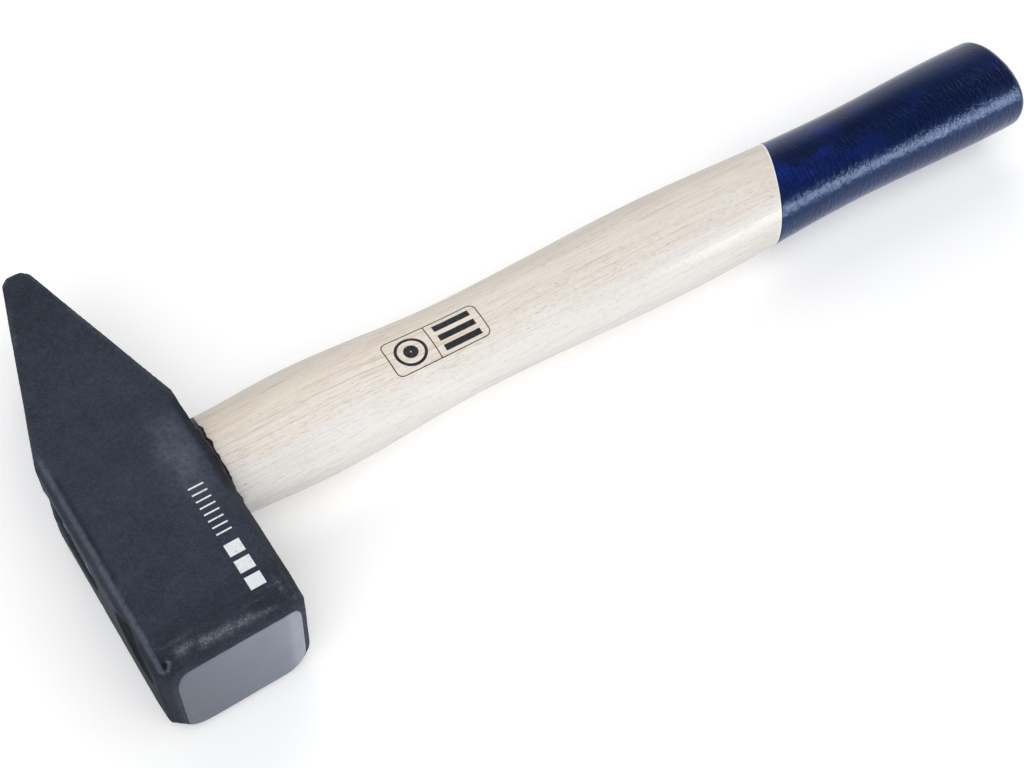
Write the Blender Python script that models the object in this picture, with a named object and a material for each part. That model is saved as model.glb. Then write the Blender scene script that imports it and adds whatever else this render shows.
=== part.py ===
"""A blacksmith's cross-peen hammer of the 2 kg size, lying on one cheek.

+X runs along the handle from the head to the butt, +Y points to the peen, the striking
face looks to -Y, and +Z is up. The head rests with its lower cheek on z = 0, and the
origin lies on that cheek, under the point where the axes of handle and head cross.
"""

import math

import bmesh
import bpy
from mathutils import Vector

MM = 0.001

# Head
HEAD_WIDTH = 49.0 * MM  # along X, from the eye's top face to the handle side
HEAD_HEIGHT = 49.0 * MM  # along Z, from cheek to cheek
FACE_Y = -68.6 * MM  # plane of the striking face
PEEN_TIP_Y = 86.4 * MM
SHOULDER_TOP_Y = 15.4 * MM  # where the peen's taper starts on the eye's top face
SHOULDER_HANDLE_Y = 19.8 * MM  # and on the handle side
PEEN_THICKNESS = 10.0 * MM
PEEN_NOSE_FLAT = 5.0 * MM
PEEN_NOSE_LENGTH = 2.4 * MM
PEEN_OFFSET_X = 0.7 * MM
PEEN_EDGE_CUT = 0.6 * MM
FACE_BEVEL_TOP = 5.6 * MM  # along Y, from the face to the full section, on the eye's top side
FACE_BEVEL_HANDLE = 3.0 * MM  # and on the handle side
FACE_INSET_TOP = 4.5 * MM  # how far the ground face stays inside the section
FACE_INSET_HANDLE = 2.9 * MM
FACE_INSET_UPPER = 2.7 * MM
FACE_INSET_LOWER = 3.5 * MM
FACE_BLEND = 8.0 * MM  # along Y, where the rounded corners turn into flat chamfers
CHAMFER_TOP_REACH = 2.8 * MM  # along X; along Z it widens from the shoulder to the face
CHAMFER_TOP_WIDE = 4.0 * MM
CHAMFER_TOP_NARROW = 2.0 * MM
CHAMFER_HANDLE = 2.2 * MM
CHAMFER_LOWER = 2.0 * MM
CORNER_STEPS = 6
HOLLOW_Y = -47.0 * MM  # shallow forged hollow on the eye's top face
HOLLOW_Z = 30.0 * MM
HOLLOW_LENGTH = 25.0 * MM
HOLLOW_WIDTH = 21.0 * MM
HOLLOW_DEPTH = 1.2 * MM

# Handle
HANDLE_CANT = math.radians(-1.16)  # the handle leans a little towards the striking face
HANDLE_OFFSET_Y = -0.9 * MM
OVAL_RATIO = 0.74  # thickness of the handle over its width
OVAL_POWER = 2.15
OVAL_STEPS = 32
BUTT_X = 377.8 * MM
TENON_END_X = -23.2 * MM
TENON_ROOT_X = 25.1 * MM
SHOULDER_X = 27.0 * MM
BUTT_ROUNDING = 3.6 * MM
BUTT_DOME = 1.0 * MM
# Widths at the handle's narrowest and widest places, as (distance from the head's axis, width)
HANDLE_WIDTHS = [
    (27.0 * MM, 38.6 * MM),
    (62.0 * MM, 41.5 * MM),
    (122.0 * MM, 36.3 * MM),
    (212.0 * MM, 40.8 * MM),
    (292.0 * MM, 36.7 * MM),
    (362.0 * MM, 40.2 * MM),
]
STATION_STEP = 10.0 * MM

# Eye: (distance along the handle's axis, length along Y, width along Z)
EYE_MOUTHS = [
    (-28.0 * MM, 39.6 * MM, 27.6 * MM),
    (-20.0 * MM, 38.2 * MM, 26.2 * MM),
    (-4.0 * MM, 35.4 * MM, 23.6 * MM),
    (8.0 * MM, 35.4 * MM, 23.6 * MM),
    (28.0 * MM, 37.0 * MM, 25.2 * MM),
]
GAP = 0.3 * MM  # clearance kept between pieces that touch

# Wedges
WOOD_WEDGE_WIDTH = 33.0 * MM
WOOD_WEDGE_THICK = 5.4 * MM
WOOD_WEDGE_TIP = 1.4 * MM
WOOD_WEDGE_LENGTH = 29.0 * MM
KERF_OVERRUN = 2.0 * MM
STEEL_WEDGE_WIDTH = 16.0 * MM
STEEL_WEDGE_THICK = 3.2 * MM
STEEL_WEDGE_TIP = 0.8 * MM
STEEL_WEDGE_LENGTH = 20.0 * MM
STEEL_WEDGE_SPREAD = 8.5 * MM  # each one's distance from the eye's centre, along Y
STEEL_WEDGE_PROUD = 0.4 * MM


def clear_scene():
    for obj in list(bpy.data.objects):
        bpy.data.objects.remove(obj, do_unlink=True)


def material(name, color, roughness, metallic=0.0):
    made = bpy.data.materials.new(name)
    made.use_nodes = True
    shader = made.node_tree.nodes["Principled BSDF"]
    shader.inputs["Base Color"].default_value = (*color, 1.0)
    shader.inputs["Roughness"].default_value = roughness
    shader.inputs["Metallic"].default_value = metallic
    made.diffuse_color = (*color, 1.0)
    return made


def loft(name, rings, look, parent=None):
    """A closed solid through rings of equally many points, with a flat cap at each end."""
    shape = bmesh.new()
    loops = [[shape.verts.new(point) for point in ring] for ring in rings]
    count = len(loops[0])
    for low, high in zip(loops, loops[1:]):
        for i in range(count):
            after = (i + 1) % count
            shape.faces.new((low[i], low[after], high[after], high[i]))
    shape.faces.new(reversed(loops[0]))
    shape.faces.new(loops[-1])
    bmesh.ops.recalc_face_normals(shape, faces=shape.faces)
    return add_object(name, shape, look, parent)


def add_object(name, shape, look, parent=None):
    mesh = bpy.data.meshes.new(name)
    shape.to_mesh(mesh)
    shape.free()
    obj = bpy.data.objects.new(name, mesh)
    bpy.context.scene.collection.objects.link(obj)
    if look:
        mesh.materials.append(look)
    obj.parent = parent
    return obj


def cut(target, cutter):
    """Takes the cutter out of the target and keeps the cutter as a hidden wire helper."""
    cutter.hide_render = True
    cutter.display_type = "WIRE"
    modifier = target.modifiers.new("cut_" + cutter.name, "BOOLEAN")
    modifier.operation = "DIFFERENCE"
    modifier.solver = "EXACT"
    modifier.object = cutter


def corner(at_x, at_z, cut_x, cut_z, start, roundness):
    """Points round one corner of a section, from a flat chamfer (0) to a round one (1)."""
    inner = Vector((at_x - math.copysign(cut_x, at_x), at_z - math.copysign(cut_z, at_z)))
    points = []
    for step in range(CORNER_STEPS + 1):
        share = step / CORNER_STEPS
        angle = start + share * math.pi / 2
        arc = Vector((math.cos(angle) * cut_x, math.sin(angle) * cut_z))
        first = Vector((math.cos(start) * cut_x, math.sin(start) * cut_z))
        last = Vector((-math.sin(start) * cut_x, math.cos(start) * cut_z))
        points.append(inner + first.lerp(last, share).lerp(arc, roundness))
    return points


def head_ring(y, left, right, insets, cuts, roundness):
    """A section of the head at y, from x = left to right, with cuts (x, z) at its corners.

    insets are how far it stays inside the lower and the upper cheek.

    The corners come in the order upper handle side, upper top side, lower top side,
    lower handle side. y is one value, or a pair for the top side and the handle side.
    """
    y_top, y_handle = y if isinstance(y, tuple) else (y, y)
    low, high = insets[0], HEAD_HEIGHT - insets[1]
    half = (high - low) / 2
    middle = (left + right) / 2
    reach = (right - left) / 2
    signs = [(1, 1), (-1, 1), (-1, -1), (1, -1)]
    ring = []
    for turn, (sign, (cut_x, cut_z)) in enumerate(zip(signs, cuts)):
        start = turn * math.pi / 2
        for point in corner(sign[0] * reach, sign[1] * half, cut_x, cut_z, start, roundness):
            share = (point.x + reach) / (2 * reach)
            ring.append(
                (middle + point.x, y_top + (y_handle - y_top) * share, (low + high) / 2 + point.y)
            )
    return ring


def head_rings():
    half = HEAD_WIDTH / 2
    handle_cut = (CHAMFER_HANDLE, CHAMFER_HANDLE)
    lower_cut = (CHAMFER_LOWER, CHAMFER_LOWER)
    top_cut_narrow = (CHAMFER_TOP_REACH, CHAMFER_TOP_NARROW)
    top_cut_wide = (CHAMFER_TOP_REACH, CHAMFER_TOP_WIDE)
    edge_cut = (PEEN_EDGE_CUT, PEEN_EDGE_CUT)
    face_cuts = [(2.4 * MM, 7.0 * MM), (4.6 * MM, 11.0 * MM), (8.0 * MM, 6.5 * MM), (7.5 * MM, 12.0 * MM)]
    bevel_cuts = [(3.0 * MM, 5.0 * MM), (6.0 * MM, 8.0 * MM), (5.5 * MM, 5.5 * MM), (8.0 * MM, 10.0 * MM)]
    body_cuts = [handle_cut, top_cut_wide, lower_cut, lower_cut]
    shoulder_cuts = [handle_cut, top_cut_narrow, lower_cut, lower_cut]
    peen_cuts = [edge_cut] * 4
    tip_half = PEEN_THICKNESS / 2
    flat_half = PEEN_NOSE_FLAT / 2
    full = (0.0, 0.0)
    bevel = (FACE_Y + FACE_BEVEL_TOP, FACE_Y + FACE_BEVEL_HANDLE)
    blended = (bevel[0] + FACE_BLEND, bevel[1] + FACE_BLEND)
    return [
        head_ring(
            FACE_Y,
            FACE_INSET_TOP - half,
            half - FACE_INSET_HANDLE,
            (FACE_INSET_LOWER, FACE_INSET_UPPER),
            face_cuts,
            1.0,
        ),
        head_ring(bevel, -half, half, full, bevel_cuts, 1.0),
        head_ring(blended, -half, half, full, body_cuts, 0.0),
        head_ring((SHOULDER_TOP_Y, SHOULDER_HANDLE_Y), -half, half, full, shoulder_cuts, 0.0),
        head_ring(
            PEEN_TIP_Y - PEEN_NOSE_LENGTH,
            PEEN_OFFSET_X - tip_half,
            PEEN_OFFSET_X + tip_half,
            (PEEN_EDGE_CUT / 2, PEEN_EDGE_CUT / 2),
            peen_cuts,
            0.0,
        ),
        head_ring(
            PEEN_TIP_Y,
            PEEN_OFFSET_X - flat_half,
            PEEN_OFFSET_X + flat_half,
            (PEEN_EDGE_CUT, PEEN_EDGE_CUT),
            peen_cuts,
            0.0,
        ),
    ]


def oval_ring(x, width, thickness):
    """An oval section across the handle's axis, a little squarer than an ellipse."""
    ring = []
    for step in range(OVAL_STEPS):
        angle = 2 * math.pi * step / OVAL_STEPS
        across = math.cos(angle)
        up = math.sin(angle)
        y = math.copysign(abs(across) ** (2 / OVAL_POWER), across) * width / 2
        z = math.copysign(abs(up) ** (2 / OVAL_POWER), up) * thickness / 2
        ring.append((x, y, z))
    return ring


def eased(table, x, column=1):
    """The value at x of a table of (x, value, ...) rows, eased between the rows."""
    for low, high in zip(table, table[1:]):
        if x <= high[0]:
            share = min(max((x - low[0]) / (high[0] - low[0]), 0.0), 1.0)
            return low[column] + (high[column] - low[column]) * (1 - math.cos(math.pi * share)) / 2
    return table[-1][column]


def straight(table, x, column):
    """The value at x of a table of (x, value, ...) rows, on straight lines."""
    for low, high in zip(table, table[1:]):
        if x <= high[0]:
            return low[column] + (high[column] - low[column]) * (x - low[0]) / (high[0] - low[0])
    return table[-1][column]


def handle_rings():
    rings = []
    # The tenon fills the eye, with a gap all round.
    for x in (TENON_END_X, EYE_MOUTHS[1][0], EYE_MOUTHS[2][0], EYE_MOUTHS[3][0], TENON_ROOT_X):
        length = straight(EYE_MOUTHS, x, 1) - 2 * GAP
        width = straight(EYE_MOUTHS, x, 2) - 2 * GAP
        rings.append(oval_ring(x, length, width))
    # The grip, from the shoulder against the head to the start of the butt's rounding.
    last = BUTT_X - BUTT_DOME - BUTT_ROUNDING
    count = round((last - SHOULDER_X) / STATION_STEP)
    for step in range(count + 1):
        x = SHOULDER_X + (last - SHOULDER_X) * step / count
        width = eased(HANDLE_WIDTHS, x)
        rings.append(oval_ring(x, width, width * OVAL_RATIO))
    # The butt's rounded edge and its shallow dome.
    full = eased(HANDLE_WIDTHS, last)
    for degrees in (22.5, 45.0, 67.5, 90.0):
        angle = math.radians(degrees)
        inset = BUTT_ROUNDING * (1 - math.cos(angle))
        x = last + BUTT_ROUNDING * math.sin(angle)
        rings.append(oval_ring(x, full - 2 * inset, full * OVAL_RATIO - 2 * inset))
    rings.append(oval_ring(BUTT_X, full * 0.35, full * OVAL_RATIO * 0.3))
    return rings


def wedge_rings(start_x, length, flat, thick, tip, along_y, margin=0.0, overrun=0.0):
    """Two rings of a tapering wedge. flat is its constant side, along Y or along Z."""
    rings = []
    for x, size in ((start_x, thick), (start_x + length, tip)):
        half_flat = flat / 2 + margin
        half_size = size / 2 + margin
        half_y, half_z = (half_flat, half_size) if along_y else (half_size, half_flat)
        reach = overrun if x > start_x else -overrun
        rings.append(
            [
                (x + reach, half_y, half_z),
                (x + reach, -half_y, half_z),
                (x + reach, -half_y, -half_z),
                (x + reach, half_y, -half_z),
            ]
        )
    return rings


def make_head(look, axis):
    head = loft("hammer_head", head_rings(), look)
    eye = loft("eye_cutter", [oval_ring(*mouth) for mouth in EYE_MOUTHS], None, axis)
    cut(head, eye)
    cut(head, make_hollow_cutter())
    return head


def make_hollow_cutter():
    """A flattened ball that leaves a lens-shaped hollow on the eye's top face."""
    shape = bmesh.new()
    bmesh.ops.create_uvsphere(shape, u_segments=32, v_segments=16, radius=1.0)
    ball = add_object("hollow_cutter", shape, None)
    # The ball's centre stands off the face, so that only a cap of it cuts in.
    depth_share = 0.35
    half_x = HOLLOW_DEPTH / depth_share
    rim = math.sqrt(1 - (1 - depth_share) ** 2)
    ball.scale = (half_x, HOLLOW_LENGTH / 2 / rim, HOLLOW_WIDTH / 2 / rim)
    ball.location = (-HEAD_WIDTH / 2 - half_x + HOLLOW_DEPTH, HOLLOW_Y, HOLLOW_Z)
    return ball


def make_handle(look, axis):
    handle = loft("handle", handle_rings(), look, axis)
    kerf = wedge_rings(
        TENON_END_X, WOOD_WEDGE_LENGTH, 2 * WOOD_WEDGE_WIDTH, WOOD_WEDGE_THICK, WOOD_WEDGE_TIP,
        True, GAP, KERF_OVERRUN,
    )
    cut(handle, loft("kerf_cutter", kerf, None, axis))
    return handle


def make_wooden_wedge(look, axis):
    rings = wedge_rings(
        TENON_END_X, WOOD_WEDGE_LENGTH, WOOD_WEDGE_WIDTH, WOOD_WEDGE_THICK, WOOD_WEDGE_TIP, True
    )
    return loft("wooden_wedge", rings, look, axis)


def make_steel_wedge(name, side, look, axis):
    """A steel wedge that crosses the wooden one, set on one side of the eye's centre."""
    rings = wedge_rings(
        TENON_END_X - STEEL_WEDGE_PROUD, STEEL_WEDGE_LENGTH, STEEL_WEDGE_WIDTH,
        STEEL_WEDGE_THICK, STEEL_WEDGE_TIP, False,
    )
    wedge = loft(name, rings, look, axis)
    wedge.location.y = side * STEEL_WEDGE_SPREAD
    return wedge


def cut_steel_wedge_slot(name, side, targets, axis):
    rings = wedge_rings(
        TENON_END_X - STEEL_WEDGE_PROUD, STEEL_WEDGE_LENGTH, STEEL_WEDGE_WIDTH,
        STEEL_WEDGE_THICK, STEEL_WEDGE_TIP, False, GAP, 1.0 * MM,
    )
    slot = loft(name, rings, None, axis)
    slot.location.y = side * STEEL_WEDGE_SPREAD
    for target in targets:
        cut(target, slot)


def main():
    clear_scene()
    steel_painted = material("painted_forged_steel", (0.038, 0.046, 0.062), 0.5, 0.1)
    ash = material("ash_wood", (0.70, 0.62, 0.53), 0.45)
    wedge_wood = material("wedge_wood", (0.48, 0.34, 0.22), 0.6)
    wedge_steel = material("wedge_steel", (0.32, 0.33, 0.35), 0.4, 0.9)
    axis = bpy.data.objects.new("handle_axis", None)
    bpy.context.scene.collection.objects.link(axis)
    axis.location = (0.0, HANDLE_OFFSET_Y, HEAD_HEIGHT / 2)
    axis.rotation_euler.z = HANDLE_CANT
    make_head(steel_painted, axis)
    handle = make_handle(ash, axis)
    wooden_wedge = make_wooden_wedge(wedge_wood, axis)
    for number, side in ((1, 1), (2, -1)):
        make_steel_wedge(f"steel_wedge_{number}", side, wedge_steel, axis)
        cut_steel_wedge_slot(f"steel_slot_{number}", side, (handle, wooden_wedge), axis)


main()
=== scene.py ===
"""Looks for a cross-peen blacksmith's hammer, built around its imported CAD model.

Everything is in metres in the CAD's frame: +X along the handle to the butt, +Y to the
peen, the striking face to -Y, +Z up. The hammer lies on its lower cheek, on z = 0.
"""

import math

import bmesh
import bpy
import numpy as np
from mathutils import Matrix, Vector, noise
from mathutils.bvhtree import BVHTree


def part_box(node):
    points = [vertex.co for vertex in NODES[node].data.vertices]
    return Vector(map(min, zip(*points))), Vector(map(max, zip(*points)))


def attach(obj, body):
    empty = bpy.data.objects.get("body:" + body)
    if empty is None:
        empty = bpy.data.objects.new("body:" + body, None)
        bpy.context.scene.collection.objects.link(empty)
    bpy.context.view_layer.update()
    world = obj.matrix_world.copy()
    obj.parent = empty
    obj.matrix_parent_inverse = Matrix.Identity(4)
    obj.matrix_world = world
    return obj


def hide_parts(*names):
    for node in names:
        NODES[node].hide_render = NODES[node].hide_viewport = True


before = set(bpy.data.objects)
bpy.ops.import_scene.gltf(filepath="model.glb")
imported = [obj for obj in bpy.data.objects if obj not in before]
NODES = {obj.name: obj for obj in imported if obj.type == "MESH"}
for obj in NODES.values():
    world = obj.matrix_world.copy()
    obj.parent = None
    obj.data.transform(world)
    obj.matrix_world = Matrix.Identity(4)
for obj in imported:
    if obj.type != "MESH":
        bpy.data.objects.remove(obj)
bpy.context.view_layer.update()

MM = 0.001

# Camera
CAMERA_PLACE = (-0.05327, -0.24037, 0.46850)
CAMERA_TURN = (32.142, -3.860, -34.178)  # degrees, in XYZ order
CAMERA_LENS = 53.36

# Head
FACE_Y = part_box("hammer_head")[0].y
CHEEK_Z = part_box("hammer_head")[1].z
HEAD_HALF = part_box("hammer_head")[1].x
VOXEL = 0.66 * MM
FORGED_BROAD = 0.11 * MM
FORGED_FINE = 0.035 * MM
PAINT_DARK = (0.024, 0.030, 0.044)
PAINT_LIGHT = (0.038, 0.047, 0.067)
# Ground steel, darker and lighter, for the painted reflection across the striking face.
STEEL_PAINTED_SHADE = (0.128, 0.143, 0.176)
STEEL_PAINTED_LIT = (0.268, 0.296, 0.366)

# The lens-shaped hollow on the side where the eye comes out: y, z, half length, half height
# and depth, in millimetres. The CAD head has the first, and the visual head the second.
CAD_HOLLOW = (-47.0, 30.0, 12.5, 10.5, 1.2)
FULL_HOLLOW = (-47.0, 31.8, 12.5, 15.0, 1.4)

# Scuffs through the paint along the front of the upper cheek:
# (x, y, radius along x, radius along y, strength), in millimetres
SCUFFS = [
    (-14.6, -62.3, 2.2, 1.3, 0.80),
    (-11.8, -62.0, 1.4, 0.9, 0.55),
    (-8.0, -63.2, 1.3, 1.6, 0.75),
    (-5.6, -63.4, 1.8, 1.3, 0.80),
    (-2.6, -63.6, 1.6, 1.2, 0.70),
    (0.4, -63.7, 1.8, 1.5, 0.85),
    (3.6, -63.9, 1.6, 1.2, 0.70),
    (6.4, -64.0, 1.9, 1.3, 0.65),
    (9.4, -64.6, 1.8, 0.9, 0.40),
    (13.2, -65.0, 2.4, 0.6, 0.45),
    (16.5, -58.5, 3.4, 0.5, 0.22),
    (9.5, -60.5, 4.4, 0.5, 0.18),
    (19.5, -60.0, 0.8, 3.5, 0.35),
    (-13.5, -59.0, 5.0, 0.6, 0.30),
]
PIT = (-20.8, -63.8, 1.3)  # a small round fold in the forging beside the face: x, y, radius

# Handle, in its own frame: the same sizes as the CAD handle
HANDLE_PLACE = (0.0, -0.9 * MM, CHEEK_Z / 2)
HANDLE_CANT = math.radians(-1.16)
OVAL_RATIO = 0.74
OVAL_POWER = 2.15
BUTT_X = 377.8 * MM
BUTT_ROUNDING = 3.6 * MM
BUTT_DOME = 1.0 * MM
TENON_END_X = -23.2 * MM
TENON_ROOT_X = 25.1 * MM
SHOULDER_X = 27.0 * MM
HANDLE_WIDTHS = [
    (27.0 * MM, 38.6 * MM),
    (62.0 * MM, 41.5 * MM),
    (122.0 * MM, 36.3 * MM),
    (212.0 * MM, 40.8 * MM),
    (292.0 * MM, 36.7 * MM),
    (362.0 * MM, 40.2 * MM),
]
EYE_MOUTHS = [
    (-28.0 * MM, 39.6 * MM, 27.6 * MM),
    (-20.0 * MM, 38.2 * MM, 26.2 * MM),
    (-4.0 * MM, 35.4 * MM, 23.6 * MM),
    (8.0 * MM, 35.4 * MM, 23.6 * MM),
    (28.0 * MM, 37.0 * MM, 25.2 * MM),
]
EYE_GAP = 0.3 * MM
RING_POINTS = 132
LACQUER_X = 259.7 * MM  # where the dipped end starts, on the handle's axis
LACQUER_SLANT = 0.49  # how far that line leans, along X for each unit along Y
LACQUER_BUILD = 0.14 * MM
LACQUER, END_GRAIN, RIM = 1, 2, 3  # the handle's material slots, after the wood's

# Wedges, in the handle's frame
STEEL_WEDGE_WIDTH = 16.0 * MM
STEEL_WEDGE_THICK = 3.2 * MM
STEEL_WEDGE_TIP = 0.8 * MM
STEEL_WEDGE_LENGTH = 20.0 * MM
STEEL_WEDGE_SPREAD = 8.5 * MM
STEEL_WEDGE_PROUD = 0.4 * MM
WOOD_WEDGE_THICK = 5.4 * MM
WOOD_WEDGE_TIP = 1.4 * MM
WOOD_WEDGE_LENGTH = 29.0 * MM
KERF_OVERRUN = 2.0 * MM
KERF_WIDTH = 66.0 * MM  # past both sides of the tenon
CUT_SLACK = 0.12 * MM  # how much wider each cut is all round
KERF_PLAY = 0.25 * MM  # and at its mouth
SLOT_PLAY = 0.20 * MM

# Prints
PRINT_SINK = 0.01 * MM  # how far a print's underside lies below the surface
PRINT_ARC = 26.0  # radius, in mm, of the arc that a print on the handle is measured along
PRINT_AXIS_Z = -10.0 * MM  # the middle of that arc, under the handle's axis
PRINT_REACH = 80.0 * MM  # how far from that middle the casting rays start

HANDLE_MATRIX = Matrix.Translation(HANDLE_PLACE) @ Matrix.Rotation(HANDLE_CANT, 4, "Z")


# ---------- mesh helpers


def read_points(mesh):
    flat = np.empty(len(mesh.vertices) * 3, np.float32)
    mesh.vertices.foreach_get("co", flat)
    return flat.reshape(-1, 3).astype(float)


def write_points(mesh, points):
    mesh.vertices.foreach_set("co", points.astype(np.float32).ravel())
    mesh.update()


def read_normals(mesh):
    flat = np.empty(len(mesh.vertices) * 3, np.float32)
    mesh.vertex_normals.foreach_get("vector", flat)
    return flat.reshape(-1, 3).astype(float)


def read_edges(mesh):
    flat = np.empty(len(mesh.edges) * 2, np.int32)
    mesh.edges.foreach_get("vertices", flat)
    return flat.reshape(-1, 2)


def neighbour_mean(values, edges):
    """The mean of each vertex's neighbours, for values with one or more columns."""
    size = len(values)
    heads = np.concatenate([edges[:, 0], edges[:, 1]])
    tails = np.concatenate([edges[:, 1], edges[:, 0]])
    count = np.maximum(np.bincount(heads, minlength=size), 1)
    columns = [np.bincount(heads, values[tails, k], size) / count for k in range(values.shape[1])]
    return np.stack(columns, axis=1)


def relax(points, edges, rounds):
    """Smooths away voxel steps without shrinking the shape."""
    for _ in range(rounds):
        points = points + 0.50 * (neighbour_mean(points, edges) - points)
        points = points - 0.52 * (neighbour_mean(points, edges) - points)
    return points


def noise_field(points, size, seed):
    """Smooth noise from -1 to 1 at each point. size is that of its bumps."""
    shift = Vector((seed * 17.3, seed * -9.1, seed * 5.7))
    return np.array([noise.noise(Vector(point) / size + shift) for point in points])


def smooth_step(values, low, high):
    share = np.clip((values - low) / (high - low), 0.0, 1.0)
    return share * share * (3 - 2 * share)


def set_attribute(mesh, name, values):
    attribute = mesh.attributes.new(name, "FLOAT", "POINT")
    attribute.data.foreach_set("value", np.asarray(values, np.float32))


def add_object(name, mesh, looks, smooth=True):
    for look in looks:
        mesh.materials.append(look)
    if smooth:
        mesh.shade_smooth()
    obj = bpy.data.objects.new(name, mesh)
    bpy.context.scene.collection.objects.link(obj)
    return obj


def add_mesh(name, points, faces, looks, smooth=True):
    mesh = bpy.data.meshes.new(name)
    mesh.from_pydata([tuple(point) for point in points], [], [tuple(face) for face in faces])
    mesh.update()
    return add_object(name, mesh, looks, smooth)


def add_shape(name, shape, looks, smooth=True):
    """An object from a bmesh, with its normals turned outwards."""
    bmesh.ops.recalc_face_normals(shape, faces=shape.faces)
    mesh = bpy.data.meshes.new(name)
    shape.to_mesh(mesh)
    shape.free()
    return add_object(name, mesh, looks, smooth)


def turn_faces_out(mesh):
    shape = bmesh.new()
    shape.from_mesh(mesh)
    bmesh.ops.recalc_face_normals(shape, faces=shape.faces)
    shape.to_mesh(mesh)
    shape.free()


def apply_modifiers(obj):
    graph = bpy.context.evaluated_depsgraph_get()
    mesh = bpy.data.meshes.new_from_object(obj.evaluated_get(graph))
    obj.modifiers.clear()
    obj.data = mesh


def cut(target, cutter):
    modifier = target.modifiers.new("cut", "BOOLEAN")
    modifier.operation = "DIFFERENCE"
    modifier.solver = "EXACT"
    modifier.object = cutter
    apply_modifiers(target)
    bpy.data.objects.remove(cutter, do_unlink=True)


def place(piece, matrix=None):
    """Sets the piece in the row frame, on the hammer's one body."""
    if matrix is not None:
        piece.matrix_world = matrix
    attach(piece, "root")
    return piece


# ---------- node helpers


def blank(name):
    made = bpy.data.materials.new(name)
    made.use_nodes = True
    return made, made.node_tree, made.node_tree.nodes["Principled BSDF"]


def node(tree, kind, inputs=None, **settings):
    made = tree.nodes.new("ShaderNode" + kind)
    for key, value in settings.items():
        setattr(made, key, value)
    for key, value in (inputs or {}).items():
        feed(tree, made.inputs[key], value)
    return made


def feed(tree, socket, value):
    if isinstance(value, bpy.types.NodeSocket):
        tree.links.new(value, socket)
    elif isinstance(value, tuple) and len(value) == 3 and len(socket.default_value) == 4:
        socket.default_value = (*value, 1.0)
    else:
        socket.default_value = value


def maths(tree, operation, first, second=0.0):
    return node(tree, "Math", {0: first, 1: second}, operation=operation).outputs[0]


def multiply(tree, first, second):
    return maths(tree, "MULTIPLY", first, second)


def grade(tree, value, low, high, to_low=0.0, to_high=1.0):
    """value between low and high, eased to a number between to_low and to_high."""
    inputs = {
        "Value": value,
        "From Min": low,
        "From Max": high,
        "To Min": to_low,
        "To Max": to_high,
    }
    return node(tree, "MapRange", inputs, interpolation_type="SMOOTHSTEP").outputs[0]


def mix(tree, share, first, second, blend="MIX"):
    inputs = {0: share, 6: first, 7: second}
    return node(tree, "Mix", inputs, data_type="RGBA", blend_type=blend).outputs[2]


def stain(tree, color, layers):
    """Lays (value, low, high, share at low, share at high, shade) over a colour, in turn."""
    for value, low, high, at_low, at_high, shade in layers:
        color = mix(tree, grade(tree, value, low, high, at_low, at_high), color, shade)
    return color


def spot(tree):
    """The shaded point, in the object's own frame."""
    return node(tree, "TexCoord").outputs["Object"]


def split(tree, where):
    """The x, y and z of a point."""
    return node(tree, "SeparateXYZ", {0: where}).outputs[:]


def grain(tree, where, rates, detail=4.0, roughness=0.55, seed=0.0, distortion=0.0):
    """Noise from 0 to 1 whose bumps come at rates (x, y, z) to the metre."""
    mapping = {"Vector": where, "Scale": rates, "Location": (seed, -seed, seed * 0.7)}
    inputs = {
        "Vector": node(tree, "Mapping", mapping).outputs[0],
        "Scale": 1.0,
        "Detail": detail,
        "Roughness": roughness,
        "Distortion": distortion,
    }
    return node(tree, "TexNoise", inputs).outputs[0]


def even_grain(tree, where, rate, **settings):
    return grain(tree, where, (rate, rate, rate), **settings)


def bump(tree, shader, layers):
    """Stacks layers of (height, distance in metres, strength) onto the shader's normal."""
    normal = None
    for height, distance, strength in layers:
        inputs = {"Height": height, "Distance": distance, "Strength": strength}
        if normal is not None:
            inputs["Normal"] = normal
        normal = node(tree, "Bump", inputs).outputs[0]
    tree.links.new(normal, shader.inputs["Normal"])


def attribute(tree, name):
    return node(tree, "Attribute", attribute_name=name).outputs["Fac"]


# ---------- materials


def paint_color(tree, where, noises):
    """Charcoal paint, mottled and specked."""
    broad, mottle, fine, speck = noises
    cloud = even_grain(tree, where, 38.0, detail=2.0, seed=3.1)
    color = mix(tree, grade(tree, broad, 0.3, 0.7), PAINT_DARK, PAINT_LIGHT)
    layers = [
        (cloud, 0.40, 0.68, 0.0, 0.4, (0.044, 0.054, 0.078)),
        (mottle, 0.32, 0.66, 0.50, 0.0, (0.018, 0.023, 0.035)),
        (fine, 0.42, 0.74, 0.0, 0.55, (0.070, 0.080, 0.104)),
        (speck, 0.72, 0.78, 0.0, 0.7, (0.120, 0.132, 0.155)),
    ]
    return stain(tree, color, layers)


def chamfer_share(tree, x, y, z, noises):
    """How strongly the chamfer beside the handle, on the face's half, turns dull grey."""
    broad, mottle, _, _ = noises
    corner = HEAD_HALF + CHEEK_Z
    near_edge = grade(tree, maths(tree, "ADD", x, z), corner - 2.7 * MM, corner - 2.1 * MM)
    reach = maths(tree, "ADD", y, multiply(tree, broad, 12.0 * MM))
    off_peen = grade(tree, reach, -6.0 * MM, 12.0 * MM, 1.0, 0.0)
    share = multiply(tree, near_edge, off_peen)
    return multiply(tree, share, grade(tree, mottle, 0.25, 0.60, 0.35, 0.85))


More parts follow.
